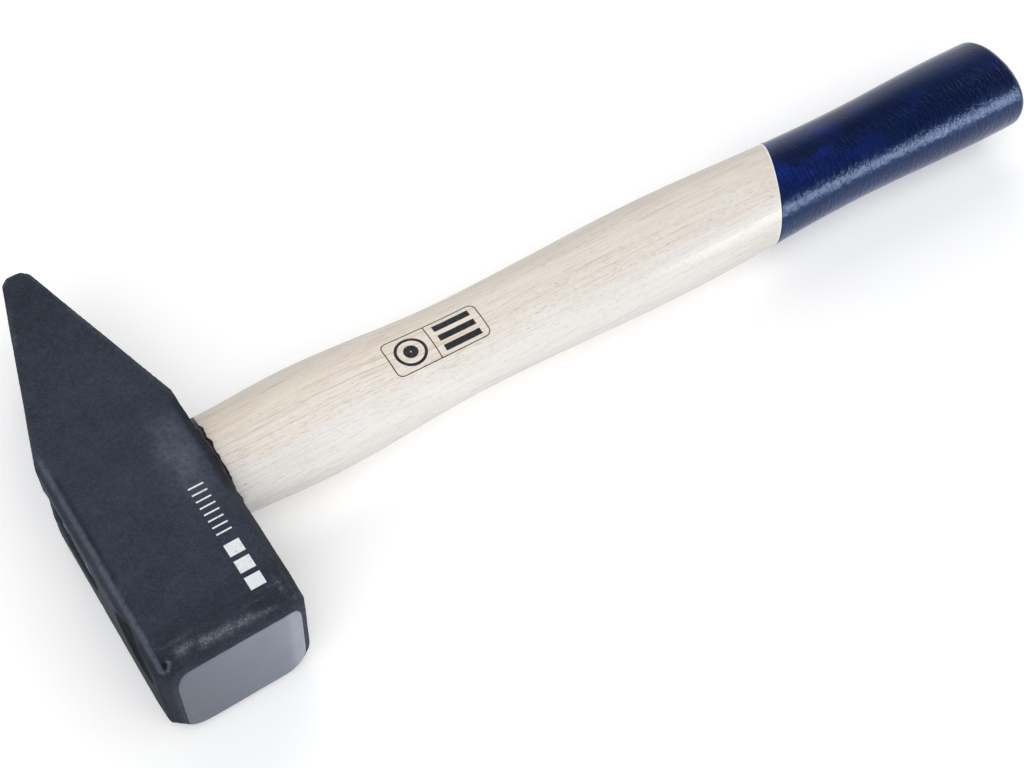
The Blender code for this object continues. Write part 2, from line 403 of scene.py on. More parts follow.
def steel_color(tree, x, z, lines, noises):
    """Steel ground with fine lines, with a painted reflection brighter towards the handle and a
    painted highlight along its edge there.
    """
    broad, _, _, speck = noises
    # Painted reflection: the colour grows lighter across the face towards the handle.
    across = maths(tree, "ADD", x, multiply(tree, z, 0.25))
    color = mix(tree, grade(tree, across, -22.0 * MM, 36.0 * MM), STEEL_PAINTED_SHADE, STEEL_PAINTED_LIT)
    layers = [
        # Painted highlight along the face's edge on the handle's side.
        (x, 15.5 * MM, 19.0 * MM, 0.0, 0.8, (0.380, 0.405, 0.460)),
        (lines, 0.3, 0.7, 0.25, 0.0, (0.11, 0.12, 0.15)),
        (broad, 0.35, 0.75, 0.0, 0.3, (0.15, 0.17, 0.21)),
        (speck, 0.73, 0.77, 0.0, 0.6, (0.60, 0.62, 0.66)),
    ]
    return stain(tree, color, layers)


def make_paint():
    """Charcoal paint over a forged skin, with the striking face ground bare."""
    made, tree, shader = blank("charcoal_paint")
    where = spot(tree)
    x, y, z = split(tree, where)
    broad = even_grain(tree, where, 110.0, detail=5.0, roughness=0.65)
    mottle = even_grain(tree, where, 560.0, detail=3.0, roughness=0.6, seed=9.2)
    fine = even_grain(tree, where, 1500.0, detail=3.0, roughness=0.7, seed=7.7)
    speck = even_grain(tree, where, 760.0, detail=2.0, seed=5.3)
    lines = grain(tree, where, (240.0, 1.0, 6500.0), detail=3.0, seed=1.9)
    noises = (broad, mottle, fine, speck)
    color = paint_color(tree, where, noises)
    color = mix(tree, chamfer_share(tree, x, y, z, noises), color, (0.036, 0.037, 0.042))
    # The head's mesh says where the paint is worn through, where it is glossier and carries a
    # painted highlight, and where it is darker, from thick paint and from painted shade.
    gloss_and_painted_highlight = attribute(tree, "gloss_and_painted_highlight")
    # Painted highlight: lighter colour where the mesh marks it.
    painted_highlight_share = multiply(tree, gloss_and_painted_highlight, grade(tree, mottle, 0.2, 0.7, 0.35, 1.0))
    color = mix(tree, painted_highlight_share, color, (0.100, 0.114, 0.150))
    # Darker where the mesh says so: thick paint round the eye, darker patches, and painted shade
    # on the eye's side, in its hollow, in the fold's pit and on the front bevel.
    dark = attribute(tree, "dark")
    color = mix(tree, dark, color, (0.005, 0.006, 0.009))
    torn = grade(tree, fine, 0.38, 0.62)
    torn = multiply(tree, torn, grade(tree, mottle, 0.32, 0.60, 0.25, 1.3))
    worn = multiply(tree, attribute(tree, "wear"), maths(tree, "ADD", torn, 0.40))
    color = mix(tree, worn, color, (0.138, 0.153, 0.184))
    # The ground face starts along a slightly uneven line.
    shift = multiply(tree, maths(tree, "SUBTRACT", speck, 0.5), 0.16 * MM)
    start = FACE_Y + 0.16 * MM
    ground = grade(tree, maths(tree, "ADD", y, shift), start, start + 0.10 * MM, 1.0, 0.0)
    color = mix(tree, ground, color, steel_color(tree, x, z, lines, noises))
    feed(tree, shader.inputs["Base Color"], color)
    feed(tree, shader.inputs["Metallic"], multiply(tree, ground, 0.9))
    rough = grade(tree, fine, 0.2, 0.8, 0.68, 0.86)
    rough = maths(tree, "SUBTRACT", rough, multiply(tree, gloss_and_painted_highlight, 0.20))
    rough = node(tree, "Mix", {0: dark, 2: rough, 3: 1.0}).outputs[0]
    smooth = grade(tree, lines, 0.2, 0.8, 0.34, 0.46)
    rough = node(tree, "Mix", {0: ground, 2: rough, 3: smooth}).outputs[0]
    feed(tree, shader.inputs["Roughness"], rough)
    shader.inputs["Specular IOR Level"].default_value = 0.16
    painted = maths(tree, "SUBTRACT", 1.0, ground)
    layers = [
        (multiply(tree, broad, painted), 0.30 * MM, 0.45),
        (multiply(tree, mottle, painted), 0.12 * MM, 0.55),
        (multiply(tree, fine, painted), 0.05 * MM, 0.55),
        (multiply(tree, lines, ground), 0.006 * MM, 0.5),
    ]
    bump(tree, shader, layers)
    return made


def wood_color(tree, where, x, y):
    """Bleached ash: soft growth bands, fine lines and short pinkish pores along the handle."""
    bands = grain(tree, where, (6.0, 150.0, 60.0), detail=3.0, distortion=0.5)
    lines = grain(tree, where, (30.0, 1900.0, 600.0), 4.0, 0.6, seed=2.2, distortion=0.25)
    long = grain(tree, where, (34.0, 1500.0, 480.0), 3.0, 0.6, seed=7.4, distortion=0.2)
    pores = grain(tree, where, (330.0, 3400.0, 3400.0), detail=2.0, roughness=0.6, seed=4.6)
    patch = grain(tree, where, (20.0, 45.0, 45.0), detail=2.0, seed=9.4)
    color = mix(tree, grade(tree, bands, 0.35, 0.68), (0.920, 0.905, 0.870), (0.885, 0.828, 0.761))
    layers = [
        (patch, 0.42, 0.70, 0.0, 0.40, (0.870, 0.775, 0.670)),
        (lines, 0.50, 0.63, 0.0, 0.50, (0.740, 0.605, 0.490)),
        (lines, 0.46, 0.34, 0.0, 0.45, (0.940, 0.930, 0.900)),
    ]
    color = stain(tree, color, layers)
    # The long dashes are strongest on the peen's side, near the head.
    by_side = grade(tree, y, -12.0 * MM, 6.0 * MM, 0.25, 1.0)
    by_length = grade(tree, x, 70.0 * MM, 160.0 * MM, 1.0, 0.45)
    dashes = grade(tree, long, 0.55, 0.62, 0.0, 0.85)
    dashes = multiply(tree, dashes, multiply(tree, by_side, by_length))
    color = mix(tree, dashes, color, (0.560, 0.420, 0.300))
    gathered = grade(tree, bands, 0.34, 0.62, 0.45, 1.0)
    pored = multiply(tree, grade(tree, pores, 0.57, 0.65, 0.0, 0.72), gathered)
    color = mix(tree, pored, color, (0.570, 0.420, 0.340))
    return color, lines, pored


def tone_wood_with_painted_shade(tree, color, x, y, z):
    """Warmer on the peen's side and greyer on the face's; painted shade makes the face's side, the
    grip end and the sides that turn away darker.
    """
    warm = grade(tree, y, -12.0 * MM, 10.0 * MM)
    warm = multiply(tree, warm, grade(tree, x, 20.0 * MM, 160.0 * MM, 0.62, 0.40))
    color = mix(tree, warm, color, (0.780, 0.680, 0.545))
    # Greyer and, as painted shade, darker on the face's side.
    grey_and_painted_shade = multiply(tree, grade(tree, y, -6.0 * MM, -15.0 * MM), 0.45)
    color = mix(tree, grey_and_painted_shade, color, (0.800, 0.815, 0.805))
    # Painted shade: a little darker towards the grip.
    painted_shade_to_grip = grade(tree, x, 70.0 * MM, 230.0 * MM)
    color = mix(tree, painted_shade_to_grip, color, (0.945, 0.935, 0.925), "MULTIPLY")
    # Painted shade where the handle turns away, on the peen's side and underneath.
    painted_shade_below = grade(tree, z, 9.0 * MM, -4.0 * MM, 0.0, 0.75)
    sides = maths(tree, "MAXIMUM", grade(tree, y, 3.0 * MM, 17.0 * MM), painted_shade_below)
    return mix(tree, sides, color, (0.79, 0.79, 0.80), "MULTIPLY")


def make_wood():
    """Clear-lacquered ash, with dark paint where the handle meets the head."""
    made, tree, shader = blank("lacquered_ash")
    where = spot(tree)
    x, y, z = split(tree, where)
    color, lines, pored = wood_color(tree, where, x, y)
    color = tone_wood_with_painted_shade(tree, color, x, y, z)
    lumps = even_grain(tree, where, 210.0, detail=2.0, roughness=0.45, seed=6.1)
    uneven = multiply(tree, maths(tree, "SUBTRACT", lumps, 0.5), -3.0 * MM)
    reach = maths(tree, "ADD", x, uneven)
    dark = grade(tree, reach, SHOULDER_X + 0.55 * MM, SHOULDER_X + 0.85 * MM, 1.0, 0.0)
    tinge = grade(tree, reach, SHOULDER_X + 0.8 * MM, SHOULDER_X + 2.6 * MM, 0.22, 0.0)
    color = mix(tree, tinge, color, (0.45, 0.40, 0.35))
    # A few drops of that paint have landed on the striking face's side.
    dots = even_grain(tree, where, 640.0, detail=1.0, seed=8.8)
    near = grade(tree, x, SHOULDER_X + 5.0 * MM, SHOULDER_X + 14.0 * MM, 0.8, 0.0)
    near = multiply(tree, near, grade(tree, y, -12.0 * MM, -8.0 * MM, 1.0, 0.0))
    drops = multiply(tree, grade(tree, dots, 0.73, 0.76), near)
    dark = maths(tree, "MAXIMUM", dark, drops)
    feed(tree, shader.inputs["Base Color"], mix(tree, dark, color, (0.020, 0.018, 0.018)))
    feed(tree, shader.inputs["Roughness"], grade(tree, lines, 0.2, 0.8, 0.38, 0.52))
    shader.inputs["Specular IOR Level"].default_value = 0.35
    shader.inputs["Coat Weight"].default_value = 0.12
    shader.inputs["Coat Roughness"].default_value = 0.18
    hollow = maths(tree, "SUBTRACT", 1.0, pored)
    bump(tree, shader, [(lines, 0.05 * MM, 0.3), (hollow, 0.05 * MM, 0.4)])
    return made


def make_lacquer():
    """Thick dark blue lacquer, combed by fine streaks across the handle."""
    made, tree, shader = blank("navy_lacquer")
    where = spot(tree)
    x, y, _ = split(tree, where)
    cloud = grain(tree, where, (45.0, 90.0, 90.0), detail=4.0, roughness=0.6, seed=12.9)
    comb = grain(tree, where, (1150.0, 150.0, 150.0), detail=3.0, roughness=0.65, seed=3.9)
    ripple = grain(tree, where, (720.0, 300.0, 300.0), detail=4.0, roughness=0.6, seed=5.5)
    fibre = grain(tree, where, (75.0, 1500.0, 1500.0), detail=2.0, seed=2.2)
    speck = even_grain(tree, where, 620.0, detail=2.0, seed=7.1)
    # The lacquer has sagged into ripples on the striking face's side of the grip.
    sagged = multiply(tree, ripple, grade(tree, y, 4.0 * MM, -4.0 * MM, 0.08, 1.0))
    near = grade(tree, x, LACQUER_X + 12.0 * MM, LACQUER_X + 62.0 * MM, 1.0, 0.15)
    clouded = grade(tree, cloud, 0.35, 0.7)
    color = mix(tree, clouded, (0.0030, 0.0088, 0.0430), (0.0040, 0.0122, 0.0570))
    bright = multiply(tree, grade(tree, cloud, 0.44, 0.66, 0.0, 0.85), near)
    bright = multiply(tree, bright, grade(tree, y, -14.0 * MM, -6.0 * MM, 0.3, 1.0))
    color = mix(tree, bright, color, (0.0050, 0.0170, 0.1700))
    # Painted reflection: lighter blue along both long edges of the grip.
    low = grade(tree, y, -9.0 * MM, -16.0 * MM, 0.0, 0.45)
    high = grade(tree, y, 11.0 * MM, 17.0 * MM, 0.0, 0.60)
    color = mix(tree, maths(tree, "MAXIMUM", low, high), color, (0.0070, 0.0260, 0.1050))
    layers = [
        (fibre, 0.55, 0.80, 0.0, 0.4, (0.0110, 0.0260, 0.0950)),
        (speck, 0.70, 0.77, 0.0, 0.5, (0.0350, 0.0550, 0.1300)),
    ]
    feed(tree, shader.inputs["Base Color"], stain(tree, color, layers))
    feed(tree, shader.inputs["Roughness"], grade(tree, comb, 0.25, 0.75, 0.05, 0.09))
    shader.inputs["Specular IOR Level"].default_value = 0.5
    shader.inputs["Specular Tint"].default_value = (0.50, 0.66, 1.0, 1.0)
    layers = [
        (sagged, 0.50 * MM, 0.75),
        (comb, 0.05 * MM, 0.50),
        (fibre, 0.03 * MM, 0.30),
        (speck, 0.08 * MM, 0.6),
    ]
    bump(tree, shader, layers)
    return made


def make_lacquer_edge():
    """A pale bluish-white band along the line where the lacquer ends."""
    made, tree, shader = blank("lacquer_rim")
    where = spot(tree)
    uneven = even_grain(tree, where, 420.0, detail=3.0)
    white = mix(tree, uneven, (0.86, 0.90, 0.97), (0.76, 0.82, 0.94))
    feed(tree, shader.inputs["Base Color"], white)
    feed(tree, shader.inputs["Roughness"], grade(tree, uneven, 0.2, 0.8, 0.22, 0.34))
    bump(tree, shader, [(uneven, 0.05 * MM, 0.3)])
    return made


def make_end_grain(name, pale, dark, overspray):
    """Sawn end grain darkened by the overspray of the head's paint."""
    made, tree, shader = blank(name)
    where = spot(tree)
    rings = grain(tree, where, (30.0, 160.0, 620.0), detail=3.0, distortion=0.5)
    pores = even_grain(tree, where, 2400.0, detail=2.0, seed=3.3)
    cover = even_grain(tree, where, 210.0, detail=4.0, roughness=0.6, seed=1.7)
    color = mix(tree, grade(tree, rings, 0.35, 0.65), pale, dark)
    layers = [
        (pores, 0.55, 0.72, 0.0, 0.7, (0.03, 0.022, 0.018)),
        (cover, 0.30, 0.62, 1.0, overspray, (0.020, 0.024, 0.034)),
    ]
    feed(tree, shader.inputs["Base Color"], stain(tree, color, layers))
    feed(tree, shader.inputs["Roughness"], grade(tree, cover, 0.2, 0.8, 0.55, 0.8))
    bump(tree, shader, [(rings, 0.15 * MM, 0.5), (pores, 0.10 * MM, 0.5)])
    return made


def make_wedge_steel():
    """Dull steel with hammer marks, a little rust and paint in its hollows."""
    made, tree, shader = blank("wedge_steel")
    where = spot(tree)
    dents = even_grain(tree, where, 420.0, detail=3.0, roughness=0.6)
    fine = even_grain(tree, where, 1900.0, detail=3.0, seed=2.4)
    rust = even_grain(tree, where, 300.0, detail=4.0, seed=6.6)
    color = mix(tree, grade(tree, dents, 0.3, 0.7), (0.10, 0.13, 0.18), (0.24, 0.29, 0.36))
    color = mix(tree, grade(tree, rust, 0.60, 0.72, 0.0, 0.7), color, (0.09, 0.045, 0.025))
    feed(tree, shader.inputs["Base Color"], color)
    feed(tree, shader.inputs["Metallic"], grade(tree, rust, 0.56, 0.66, 0.8, 0.1))
    feed(tree, shader.inputs["Roughness"], grade(tree, fine, 0.2, 0.8, 0.36, 0.6))
    bump(tree, shader, [(dents, 0.3 * MM, 0.6), (fine, 0.05 * MM, 0.5)])
    return made


def make_resin():
    """Brown-black glue and paint squeezed out where the handle enters the head."""
    made, tree, shader = blank("squeezed_resin")
    where = spot(tree)
    lumps = even_grain(tree, where, 380.0, detail=4.0, roughness=0.65)
    color = mix(tree, grade(tree, lumps, 0.35, 0.70), (0.010, 0.009, 0.010), (0.036, 0.027, 0.023))
    feed(tree, shader.inputs["Base Color"], color)
    feed(tree, shader.inputs["Roughness"], grade(tree, lumps, 0.3, 0.7, 0.35, 0.65))
    bump(tree, shader, [(lumps, 0.4 * MM, 0.7)])
    return made


def make_print(name, color, faded):
    """Printing ink, thinner in places."""
    made, tree, shader = blank(name)
    where = spot(tree)
    patchy = even_grain(tree, where, 900.0, detail=3.0, roughness=0.6)
    wear = grade(tree, patchy, 0.50, 0.80)
    feed(tree, shader.inputs["Base Color"], mix(tree, wear, color, faded))
    feed(tree, shader.inputs["Roughness"], grade(tree, patchy, 0.2, 0.8, 0.45, 0.6))
    bump(tree, shader, [(patchy, 0.02 * MM, 0.3)])
    return made


def make_floor_look():
    """A white floor that glows a little, more so far away, where it is lit less."""
    made, tree, shader = blank("pale_floor")
    shader.inputs["Base Color"].default_value = (0.95, 0.95, 0.95, 1.0)
    shader.inputs["Emission Color"].default_value = (1.0, 1.0, 1.0, 1.0)
    x, y, _ = split(tree, spot(tree))
    squares = maths(tree, "ADD", multiply(tree, x, x), multiply(tree, y, y))
    away = maths(tree, "SQRT", squares)
    feed(tree, shader.inputs["Emission Strength"], grade(tree, away, 0.8, 3.5, 0.20, 0.60))
    shader.inputs["Roughness"].default_value = 0.9
    shader.inputs["Specular IOR Level"].default_value = 0.0
    return made


# ---------- the head


def voxel_copy(name, source):
    """A copy of a CAD node with even small faces, free of the CAD's seams."""
    shape = bmesh.new()
    shape.from_mesh(source.data)
    bmesh.ops.remove_doubles(shape, verts=shape.verts, dist=0.004 * MM)
    obj = add_shape(name, shape, [])
    obj.data.materials.clear()
    modifier = obj.modifiers.new("even", "REMESH")
    modifier.mode = "VOXEL"
    modifier.voxel_size = VOXEL
    modifier.adaptivity = 0.0
    apply_modifiers(obj)
    return obj


def bulge_of(points, normals, edges):
    """How far each point stands out from its neighbours: large along sharp edges."""
    bulge = ((points - neighbour_mean(points, edges)) * normals).sum(axis=1)
    return neighbour_mean(bulge[:, None], edges)[:, 0]


def bell(values, middle, width):
    return np.exp(-(((values - middle) / width) ** 2))


def patch_at(x, y, middle, size):
    """1 in the middle of a soft oval patch on the cheek, all in millimetres, and 0 away."""
    return bell(x / MM, middle[0], size[0]) * bell(y / MM, middle[1], size[1])


def dish(y, z, hollow):
    """1 in the middle of a lens-shaped hollow, 0 on its rim and below 0 outside."""
    middle_y, middle_z, half_y, half_z, _ = hollow
    return 1 - ((y / MM - middle_y) / half_y) ** 2 - ((z / MM - middle_z) / half_z) ** 2


def forge_skin(points):
    """The unevenness that forging leaves, all over."""
    y = points[:, 1]
    rough = noise_field(points, 13.0 * MM, 1) * FORGED_BROAD
    rough += noise_field(points, 3.4 * MM, 2) * FORGED_FINE
    rough -= smooth_step(noise_field(points, 6.0 * MM, 3), 0.45, 0.75) * 0.12 * MM
    # The front edge of the cheek is hammered uneven.
    front = smooth_step(np.abs(y - FACE_Y - 5.5 * MM), 5.0 * MM, 1.0 * MM)
    rough += front * noise_field(points, 2.3 * MM, 6) * 0.13 * MM
    return rough


def add_scuffs(points, upper, skin):
    """Torn paint and dents along the front of the upper cheek, and the small round fold."""
    x, y, _ = points.T
    dents = noise_field(points, 1.5 * MM, 7)
    for at_x, at_y, across, along, strength in SCUFFS:
        near = patch_at(x, y, (at_x, at_y), (across, along)) * upper
        skin["wear"] += near * strength
        skin["rough"] += near * (0.05 + 0.22 * dents) * MM
    # The fold: painted shade darkens its dented bottom, and a painted highlight lightens one side
    # of its raised ring.
    reach = np.hypot(x / MM - PIT[0], y / MM - PIT[1]) / PIT[2]
    ring = bell(reach, 1.0, 0.35) * upper
    bottom = bell(reach, 0.0, 0.6) * upper
    skin["rough"] += (ring * 0.22 - bottom * 0.40) * MM
    skin["dark"] += bottom
    skin["wear"] += ring * smooth_step(x - y, 42.5 * MM, 44.5 * MM) * 0.9


def add_top_side(points, upper, patches, skin):
    """The side where the eye comes out: darkened in patches as painted shade, with a hollow near
    the striking face.
    """
    x, y, z = points.T
    # Beside this side's upper chamfer the cheek has a darker line.
    line = bell(x, 3.8 * MM - HEAD_HALF, 0.9 * MM) * upper
    line *= smooth_step(y, 12 * MM, 4 * MM) * smooth_step(y, -48 * MM, -30 * MM)
    skin["dark"] += line * smooth_step(patches, -0.5, 0.3) * 0.55
    # Painted shade: this whole side is darkened, more so in patches.
    side = smooth_step(x, 1.2 * MM - HEAD_HALF, 0.4 * MM - HEAD_HALF)
    skin["dark"] += side * (0.12 + 0.30 * np.clip(patches, 0.0, 1.0))
    near_side = smooth_step(x, 7.0 * MM - HEAD_HALF, 5.0 * MM - HEAD_HALF)
    already = np.clip(dish(y, z, CAD_HOLLOW), 0.0, None) * CAD_HOLLOW[-1]
    full = dish(y, z, FULL_HOLLOW)
    deeper = np.clip(full, 0.0, None) * FULL_HOLLOW[-1] - already
    skin["rough"] -= np.clip(deeper, 0.0, None) * near_side * MM
    # Painted shade inside the hollow.
    skin["dark"] += near_side * smooth_step(full, 0.0, 0.16)
    # Painted shade on the front bevel, towards this side's corner.
    corner = smooth_step(y, -57 * MM, -64 * MM) * smooth_step(x, -13 * MM, -21 * MM)
    skin["dark"] += corner * 0.22


def add_cheek_and_mouth(points, upper, skin):
    """Thick paint round the eye's mouth at the handle, painted highlights on the cheek and the
    chamfer, and a darker peen and front.
    """
    x, y, z = points.T
    run = smooth_step(x, HEAD_HALF - 3.4 * MM, HEAD_HALF - 2.0 * MM)
    run *= smooth_step(np.abs(y + 3.0 * MM), 24 * MM, 15 * MM)
    skin["dark"] += run * 0.62
    skin["rough"] += run * noise_field(points, 4.5 * MM, 8) * 0.35 * MM
    # A painted highlight lies on the cheek between the eye and the peen.
    gloss_and_painted_highlight = patch_at(x, y, (15.5, -5.0), (6.0, 15.0)) * upper
    gloss_and_painted_highlight *= 0.75 + 0.55 * noise_field(points * (1.0, 0.45, 1.0), 3.0 * MM, 9)
    # The peen and the front of the cheek are a little darker than the middle.
    skin["dark"] += smooth_step(y, 25 * MM, 80 * MM) * 0.20 * upper
    skin["dark"] += smooth_step(y, -48 * MM, -58 * MM) * 0.26
    # The chamfer at the top side gets a painted highlight and a lower roughness, and none of the
    # darkening.
    chamfer = smooth_step(np.abs(x + HEAD_HALF - 2.3 * MM), 1.0 * MM, 0.5 * MM)
    chamfer *= smooth_step(z, CHEEK_Z - 4.6 * MM, CHEEK_Z - 3.4 * MM)
    chamfer *= smooth_step(y, 22 * MM, 14 * MM)
    skin["gloss_and_painted_highlight"] += np.maximum(gloss_and_painted_highlight, chamfer * 0.62)
    skin["dark"] *= 1 - chamfer


def make_head(look):
    """The forged head. Its mesh stores, for its paint, where it is worn, where it is glossier with
    a painted highlight, and where it is darker, partly as painted shade.
    """
    head = voxel_copy("forged_head", NODES["hammer_head"])
    mesh = head.data
    edges = read_edges(mesh)
    points = relax(read_points(mesh), edges, 5)
    write_points(mesh, points)
    normals = read_normals(mesh)
    edge = smooth_step(bulge_of(points, normals, edges), 0.012 * MM, 0.060 * MM)
    painted = smooth_step(points[:, 1], FACE_Y + 0.5 * MM, FACE_Y + 2.5 * MM)
    upper = smooth_step(points[:, 2], CHEEK_Z - 4 * MM, CHEEK_Z - 2 * MM)
    patches = noise_field(points, 9.0 * MM, 4)
    skin = {name: np.zeros(len(points)) for name in ("rough", "wear", "gloss_and_painted_highlight", "dark")}
    skin["rough"] += forge_skin(points)
    skin["wear"] += edge * smooth_step(patches, -0.35, 0.45) * 0.36
    add_scuffs(points, upper, skin)
    add_top_side(points, upper, patches, skin)
    add_cheek_and_mouth(points, upper, skin)
    points = points + normals * (skin["rough"] * painted)[:, None]
    points[:, 2] = np.maximum(points[:, 2], 0.0)
    write_points(mesh, points)
    for name in ("wear", "gloss_and_painted_highlight", "dark"):
        set_attribute(mesh, name, np.clip(skin[name] * painted, 0.0, 1.0))
    mesh.materials.append(look)
    mesh.shade_smooth()
    place(head)
    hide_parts("hammer_head")
    return head


# ---------- the handle


def eased_width(x):
    """The handle's width at each x, eased between its widest and narrowest places."""
    width = np.full(np.shape(x), HANDLE_WIDTHS[-1][1])
    for low, high in reversed(list(zip(HANDLE_WIDTHS, HANDLE_WIDTHS[1:]))):
        share = np.clip((x - low[0]) / (high[0] - low[0]), 0.0, 1.0)
        value = low[1] + (high[1] - low[1]) * (1 - np.cos(np.pi * share)) / 2
        width = np.where(x <= high[0], value, width)
    return width


def oval(angle, width, thickness):
    across = np.cos(angle)
    up = np.sin(angle)
    y = np.sign(across) * np.abs(across) ** (2 / OVAL_POWER) * width / 2
    z = np.sign(up) * np.abs(up) ** (2 / OVAL_POWER) * thickness / 2
    return y, z


def slant_share(x):
    """1 at the lacquer's edge, falling to 0 away from it: how far rings lean with it."""
    return smooth_step(np.abs(x - LACQUER_X), 55.0 * MM, 0.0)


def grip_stations(end):
    """Where the grip's rings stand: every millimetre, and closer at the lacquer's edge."""
    fine = np.arange(-1.2, 1.2, 0.12) * MM + LACQUER_X
    coarse = np.arange(SHOULDER_X, end, 1.0 * MM)
    coarse = coarse[np.abs(coarse - LACQUER_X) > 1.4 * MM]
    return sorted([*coarse, *fine, end])


def handle_rings():
    """(station, x, y, z) of each ring, from the tenon's end to the butt."""
    angles = np.arange(RING_POINTS) * 2 * np.pi / RING_POINTS
    grip_end = BUTT_X - BUTT_DOME - BUTT_ROUNDING
    eye_x, eye_length, eye_width = zip(*EYE_MOUTHS)
    rings = []
    for x in np.linspace(TENON_END_X, TENON_ROOT_X, 40):
        length = np.interp(x, eye_x, eye_length) - 2 * EYE_GAP
        width = np.interp(x, eye_x, eye_width) - 2 * EYE_GAP
        y, z = oval(angles, length, width)
        rings.append((x, np.full(RING_POINTS, x), y, z))
    for x in grip_stations(grip_end):
        y, z = oval(angles, eased_width(x), eased_width(x) * OVAL_RATIO)
        at = x + slant_share(x) * LACQUER_SLANT * y
        y, z = oval(angles, eased_width(at), eased_width(at) * OVAL_RATIO)
        rings.append((x, at, y, z))
    full = float(eased_width(grip_end))
    for turn in np.radians(np.linspace(9, 90, 10)):
        inset = BUTT_ROUNDING * (1 - math.cos(turn))
        x = grip_end + BUTT_ROUNDING * math.sin(turn)
        y, z = oval(angles, full - 2 * inset, full * OVAL_RATIO - 2 * inset)
        rings.append((x, np.full(RING_POINTS, x), y, z))
    rim_y = full - 2 * BUTT_ROUNDING
    rim_z = full * OVAL_RATIO - 2 * BUTT_ROUNDING
    for share in np.linspace(0.93, 0.03, 14):
        x = BUTT_X - BUTT_DOME * share**2
        y, z = oval(angles, rim_y * share, rim_z * share)
        rings.append((x, np.full(RING_POINTS, x), y, z))
    return rings


def grid_faces(rings, count):
    """Quads between neighbouring rings of count points."""
    row = np.arange(count)
    after = (row + 1) % count
    faces = []
    for ring in range(rings - 1):
        low = ring * count
        high = low + count
        faces.append(np.stack([low + row, low + after, high + after, high + row], axis=1))
    return np.concatenate(faces)


def handle_relief(points, stations):
    """How far the handle's surface stands off its plain shape, out of true and lacquer."""
    stretched = points * np.array([0.35, 1.0, 1.0])
    relief = noise_field(stretched, 16.0 * MM, 11) * 0.10 * MM
    relief += noise_field(stretched, 4.0 * MM, 12) * 0.025 * MM
    on_grip = smooth_step(stations, SHOULDER_X, SHOULDER_X + 3 * MM)
    lacquer = smooth_step(stations, LACQUER_X - 0.10 * MM, LACQUER_X + 0.30 * MM) * LACQUER_BUILD
    sag = smooth_step(stations, LACQUER_X, LACQUER_X + 0.6 * MM)
    sag = sag * smooth_step(stations, LACQUER_X + 2.5 * MM, LACQUER_X + 0.8 * MM) * 0.06 * MM
    return (relief + lacquer + sag) * on_grip


def make_handle(looks):
    """The whole handle as one mesh, with the saw cut and slots of its wedges."""
    rings = handle_rings()
    points = np.concatenate([np.stack([at, y, z], axis=1) for _, at, y, z in rings])
    stations = np.repeat([ring[0] for ring in rings], RING_POINTS)
    faces = grid_faces(len(rings), RING_POINTS)
    last = len(points)
    caps = [list(range(RING_POINTS))[::-1], list(range(last - RING_POINTS, last))]
    handle = add_mesh("ash_handle", points, [*faces.tolist(), *caps], looks)
    mesh = handle.data
    turn_faces_out(mesh)
    normals = read_normals(mesh)
    shrink = smooth_step(points[:, 0], BUTT_X, BUTT_X - 8 * MM)
    points = points + normals * (handle_relief(points, stations) * shrink)[:, None]
    write_points(mesh, points)
    for index, polygon in enumerate(mesh.polygons):
        if index >= len(faces):
            polygon.material_index = END_GRAIN if index == len(faces) else LACQUER
            continue
        station = rings[index // RING_POINTS][0]
        if station >= LACQUER_X - 0.06 * MM:
            polygon.material_index = LACQUER
        elif station >= LACQUER_X - 0.60 * MM:
            polygon.material_index = RIM
    mesh.shade_smooth()
    for cutter in kerf_cutters():
        cut(handle, cutter)
    for polygon in handle.data.polygons:
        if polygon.material_index == END_GRAIN:
            polygon.use_smooth = False
    place(handle, HANDLE_MATRIX)
    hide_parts("handle")
    return handle


# ---------- wedges


def tapered_block(name, start, length, thick, tip, flat, middle_y, along_y, grow, looks):
    """A wedge from x = start, flat wide along Y or Z, that thins from thick to tip."""
    points = []
    for x, size in ((start, thick), (start + length, tip)):
        half_flat = flat / 2 + grow
        half_size = size / 2 + grow
        half_y, half_z = (half_flat, half_size) if along_y else (half_size, half_flat)
        for sign_y, sign_z in ((1, 1), (-1, 1), (-1, -1), (1, -1)):
            points.append((x, middle_y + sign_y * half_y, sign_z * half_z))
    faces = [(0, 1, 2, 3), (7, 6, 5, 4), (0, 4, 5, 1), (1, 5, 6, 2), (2, 6, 7, 3), (3, 7, 4, 0)]
    shape = bmesh.new()
    made = [shape.verts.new(point) for point in points]
    for face in faces:
        shape.faces.new([made[index] for index in face])
    return add_shape(name, shape, looks, smooth=False)


def kerf_cutters():
    """The saw cut for the wooden wedge and the slots that the steel wedges open."""
    start = TENON_END_X - KERF_OVERRUN
    kerf = tapered_block(
        "kerf", start, WOOD_WEDGE_LENGTH + 2 * KERF_OVERRUN, WOOD_WEDGE_THICK + KERF_PLAY,
        WOOD_WEDGE_TIP, KERF_WIDTH, 0.0, True, CUT_SLACK, [],
    )
    slots = [
        tapered_block(
            "slot", start, STEEL_WEDGE_LENGTH + KERF_OVERRUN, STEEL_WEDGE_THICK + SLOT_PLAY,
            STEEL_WEDGE_TIP, STEEL_WEDGE_WIDTH, side * STEEL_WEDGE_SPREAD, False, CUT_SLACK, [],
        )
        for side in (1, -1)
    ]
    return [kerf, *slots]


